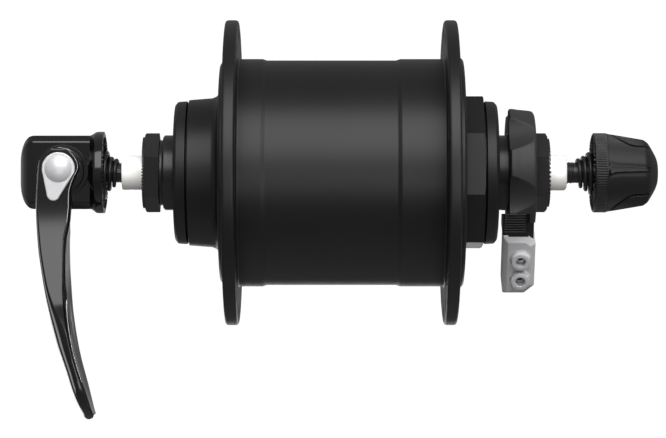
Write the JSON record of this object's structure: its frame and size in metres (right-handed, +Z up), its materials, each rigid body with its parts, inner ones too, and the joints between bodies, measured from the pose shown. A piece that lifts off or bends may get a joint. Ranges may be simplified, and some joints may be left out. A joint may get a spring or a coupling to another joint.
{
  "type": "bicycle hub dynamo",
  "caption": "Front bicycle hub dynamo with flanged black shell, hex locknuts, lamp connector plug and quick-release skewer with cam lever.",
  "frame": {"origin": "on the axle's axis, midway between the outer faces of the two locknuts", "axes": "+X along the axle to the connector and adjusting-nut side, +Z up, -Y towards the side the lever's pivot faces"},
  "size_m": [0.157, 0.0752, 0.0984],
  "materials": {
    "satin_black": "satin black coating on aluminium",
    "gloss_black": "gloss black lacquer",
    "black_plastic": "fine matt black moulding",
    "grey_plastic": "matt grey moulding",
    "white_nylon": "natural nylon",
    "bright_steel": "bright plated steel",
    "black_steel": "black zinc on turned steel",
    "bearing_steel": "ground steel",
    "soft_iron": "pressed iron",
    "ferrite": "sintered magnet",
    "copper_wire": "enamelled copper wire",
    "brass": "plain brass strip",
    "rubber": "matt rubber"
  },
  "bodies": {
    "axle_unit": {"hollow_axle": "bright_steel", "left_cone": "black_steel", "right_cone": "black_steel", "left_spacer": "black_steel", "left_locknut": "black_steel", "right_locknut": "black_steel", "terminal_collar": "black_plastic", "front_terminal_blade": "brass", "back_terminal_blade": "brass", "lead_wire": "copper_wire", "core_tube": "soft_iron", "left_claw_pole": "soft_iron", "right_claw_pole": "soft_iron", "coil_bobbin": "white_nylon", "coil_winding": "copper_wire", "left_stator_washer": "soft_iron", "right_stator_washer": "soft_iron", "left_stator_nut": "bearing_steel", "right_stator_nut": "bearing_steel"},
    "shell": {"hub_shell": "satin_black", "right_end_cap": "satin_black", "end_cap_seal": "rubber", "left_dust_cap": "black_plastic", "right_dust_cap": "black_plastic", "left_bearing_cup": "bearing_steel", "right_bearing_cup": "bearing_steel", "magnet_yoke": "soft_iron", "magnet_1": "ferrite", "magnet_2": "ferrite", "magnet_3": "ferrite", "magnet_4": "ferrite"},
    "left_ball_set": {"left_balls": "bearing_steel"},
    "right_ball_set": {"right_balls": "bearing_steel"},
    "skewer_slider": {"left_spring": "black_steel"},
    "rod": {"skewer_rod": "black_steel"},
    "head": {"lever_head": "gloss_black", "head_insert": "black_steel", "cam_bushing": "white_nylon"},
    "lever": {"quick_release_lever": "gloss_black", "cam_shaft": "bearing_steel", "lever_cap": "bright_steel"},
    "nut_slider": {"right_spring": "black_steel"},
    "nut": {"adjusting_nut": "satin_black", "nut_insert": "black_steel"},
    "plug": {"plug_housing": "black_plastic", "plug_cover": "grey_plastic"}
  },
  "joints": [
    {"name": "shell_spin", "type": "hinge", "parent": "axle_unit", "child": "shell", "pos_m": [0, 0, 0], "axis": [1, 0, 0], "continuous": true},
    {"name": "left_balls_spin", "type": "hinge", "parent": "axle_unit", "child": "left_ball_set", "pos_m": [-0.0366, 0, 0], "axis": [1, 0, 0], "continuous": true},
    {"name": "right_balls_spin", "type": "hinge", "parent": "axle_unit", "child": "right_ball_set", "pos_m": [0.03155, 0, 0], "axis": [1, 0, 0], "continuous": true},
    {"name": "skewer_slide", "type": "slide", "parent": "axle_unit", "child": "skewer_slider", "axis": [1, 0, 0], "range_m": [-0.002, 0.003], "stiffness_N_per_m": 400, "deforming": ["left_spring"]},
    {"name": "skewer_turn", "type": "hinge", "parent": "skewer_slider", "child": "head", "pos_m": [0, 0, 0], "axis": [1, 0, 0], "continuous": true},
    {"name": "cam_pull", "type": "slide", "parent": "head", "child": "rod", "axis": [1, 0, 0], "range_m": [0, 0.002]},
    {"name": "lever_swing", "type": "hinge", "parent": "head", "child": "lever", "pos_m": [-0.0698, 0, 0.0008], "axis": [0, 1, 0], "range_deg": [0, 180]},
    {"name": "nut_advance", "type": "slide", "parent": "rod", "child": "nut_slider", "axis": [1, 0, 0], "range_m": [-0.0024, 0.008], "deforming": ["right_spring"]},
    {"name": "nut_turn", "type": "hinge", "parent": "nut_slider", "child": "nut", "pos_m": [0.0605, 0, 0], "axis": [1, 0, 0], "range_deg": [-1080, 3600]},
    {"name": "plug_pull", "type": "slide", "parent": "axle_unit", "child": "plug", "axis": [0, 0.5, -0.866], "range_m": [0, 0.008]}
  ],
  "couplings": [
    {"joint": "left_balls_spin", "follows": "shell_spin", "ratio": 0.578},
    {"joint": "right_balls_spin", "follows": "shell_spin", "ratio": 0.578},
    {"joint": "cam_pull", "follows": "lever_swing", "m_per_rad": 0.000636},
    {"joint": "nut_advance", "follows": "nut_turn", "m_per_rad": 0.00012732}
  ]
}
